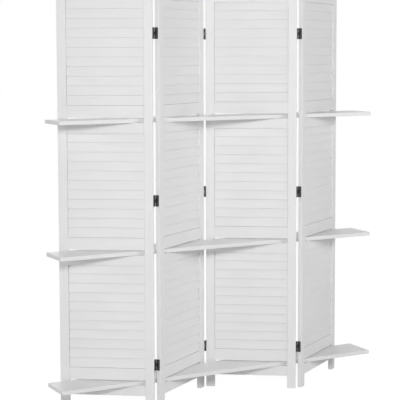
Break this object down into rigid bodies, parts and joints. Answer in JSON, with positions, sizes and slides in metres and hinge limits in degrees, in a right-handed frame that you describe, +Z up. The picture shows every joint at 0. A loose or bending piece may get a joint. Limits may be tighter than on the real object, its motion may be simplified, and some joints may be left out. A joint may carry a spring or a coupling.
{
  "type": "folding screen with shelves",
  "caption": "Free-standing louvred wooden folding screen with long shelf boards threaded through slots in its zigzag panels.",
  "frame": {"origin": "on the floor, below the middle of the screen: level with the middle fold from left to right, and half way between the front and the back folds", "axes": "+Z up, +X to the right of someone who looks at the front, -Y towards that person; the shelf boards run along X"},
  "size_m": [1.47, 0.2306, 1.6997],
  "materials": {
    "panel_paint": "white paint, satin, on light wood",
    "louvre_paint": "white paint, satin, on light wood slats",
    "shelf_paint": "white paint, satin, on light wood boards",
    "hinge_steel": "black lacquer"
  },
  "bodies": {
    "panel_1": {"panel_1_left_stile": "panel_paint", "panel_1_right_stile": "panel_paint", "panel_1_bottom_rail": "panel_paint", "panel_1_slot_rail_2": "panel_paint", "panel_1_slot_rail_3": "panel_paint", "panel_1_top_rail": "panel_paint", "panel_1_louvre_1": "louvre_paint", "panel_1_louvre_2": "louvre_paint", "panel_1_louvre_3": "louvre_paint", "hinge_12_1_pinned_leaf": "hinge_steel", "hinge_12_2_pinned_leaf": "hinge_steel", "hinge_12_3_pinned_leaf": "hinge_steel"},
    "panel_2": {"panel_2_left_stile": "panel_paint", "panel_2_right_stile": "panel_paint", "panel_2_bottom_rail": "panel_paint", "panel_2_slot_rail_2": "panel_paint", "panel_2_slot_rail_3": "panel_paint", "panel_2_top_rail": "panel_paint", "panel_2_louvre_1": "louvre_paint", "panel_2_louvre_2": "louvre_paint", "panel_2_louvre_3": "louvre_paint", "hinge_12_1_bored_leaf": "hinge_steel", "hinge_12_2_bored_leaf": "hinge_steel", "hinge_12_3_bored_leaf": "hinge_steel", "hinge_23_1_pinned_leaf": "hinge_steel", "hinge_23_2_pinned_leaf": "hinge_steel", "hinge_23_3_pinned_leaf": "hinge_steel"},
    "panel_3": {"panel_3_left_stile": "panel_paint", "panel_3_right_stile": "panel_paint", "panel_3_bottom_rail": "panel_paint", "panel_3_slot_rail_2": "panel_paint", "panel_3_slot_rail_3": "panel_paint", "panel_3_top_rail": "panel_paint", "panel_3_louvre_1": "louvre_paint", "panel_3_louvre_2": "louvre_paint", "panel_3_louvre_3": "louvre_paint", "hinge_23_1_bored_leaf": "hinge_steel", "hinge_23_2_bored_leaf": "hinge_steel", "hinge_23_3_bored_leaf": "hinge_steel", "hinge_34_1_pinned_leaf": "hinge_steel", "hinge_34_2_pinned_leaf": "hinge_steel", "hinge_34_3_pinned_leaf": "hinge_steel"},
    "panel_4": {"panel_4_left_stile": "panel_paint", "panel_4_right_stile": "panel_paint", "panel_4_bottom_rail": "panel_paint", "panel_4_slot_rail_2": "panel_paint", "panel_4_slot_rail_3": "panel_paint", "panel_4_top_rail": "panel_paint", "panel_4_louvre_1": "louvre_paint", "panel_4_louvre_2": "louvre_paint", "panel_4_louvre_3": "louvre_paint", "hinge_34_1_bored_leaf": "hinge_steel", "hinge_34_2_bored_leaf": "hinge_steel", "hinge_34_3_bored_leaf": "hinge_steel"},
    "shelf_bottom": {"shelf_bottom": "shelf_paint"},
    "shelf_middle": {"shelf_middle": "shelf_paint"},
    "shelf_top": {"shelf_top": "shelf_paint"}
  },
  "joints": [
    {"name": "fold_12", "type": "hinge", "parent": "panel_1", "child": "panel_2", "pos_m": [-0.33749, -0.10089, 0.85], "axis": [0, 0, 1], "range_deg": [-3.5, 110]},
    {"name": "fold_23", "type": "hinge", "parent": "panel_2", "child": "panel_3", "pos_m": [0, 0.10089, 0.85], "axis": [0, 0, 1], "range_deg": [-110, 3.5]},
    {"name": "fold_34", "type": "hinge", "parent": "panel_3", "child": "panel_4", "pos_m": [0.33749, -0.10089, 0.85], "axis": [0, 0, 1], "range_deg": [-3.5, 110]},
    {"name": "shelf_turn", "type": "hinge", "parent": "panel_1", "child": "shelf_bottom", "pos_m": [-0.50623, 0, 0.1062], "axis": [0, 0, 1], "range_deg": [-1.75, 55]},
    {"name": "shelf_middle_slide", "type": "slide", "parent": "shelf_bottom", "child": "shelf_middle", "axis": [1, 0, 0], "range_m": [-0.6, 0.6]},
    {"name": "shelf_top_slide", "type": "slide", "parent": "shelf_bottom", "child": "shelf_top", "axis": [1, 0, 0], "range_m": [-0.6, 0.6]}
  ],
  "couplings": [
    {"joint": "fold_23", "follows": "fold_12", "ratio": -1},
    {"joint": "fold_34", "follows": "fold_12", "ratio": 1},
    {"joint": "shelf_turn", "follows": "fold_12", "ratio": 0.5}
  ]
}
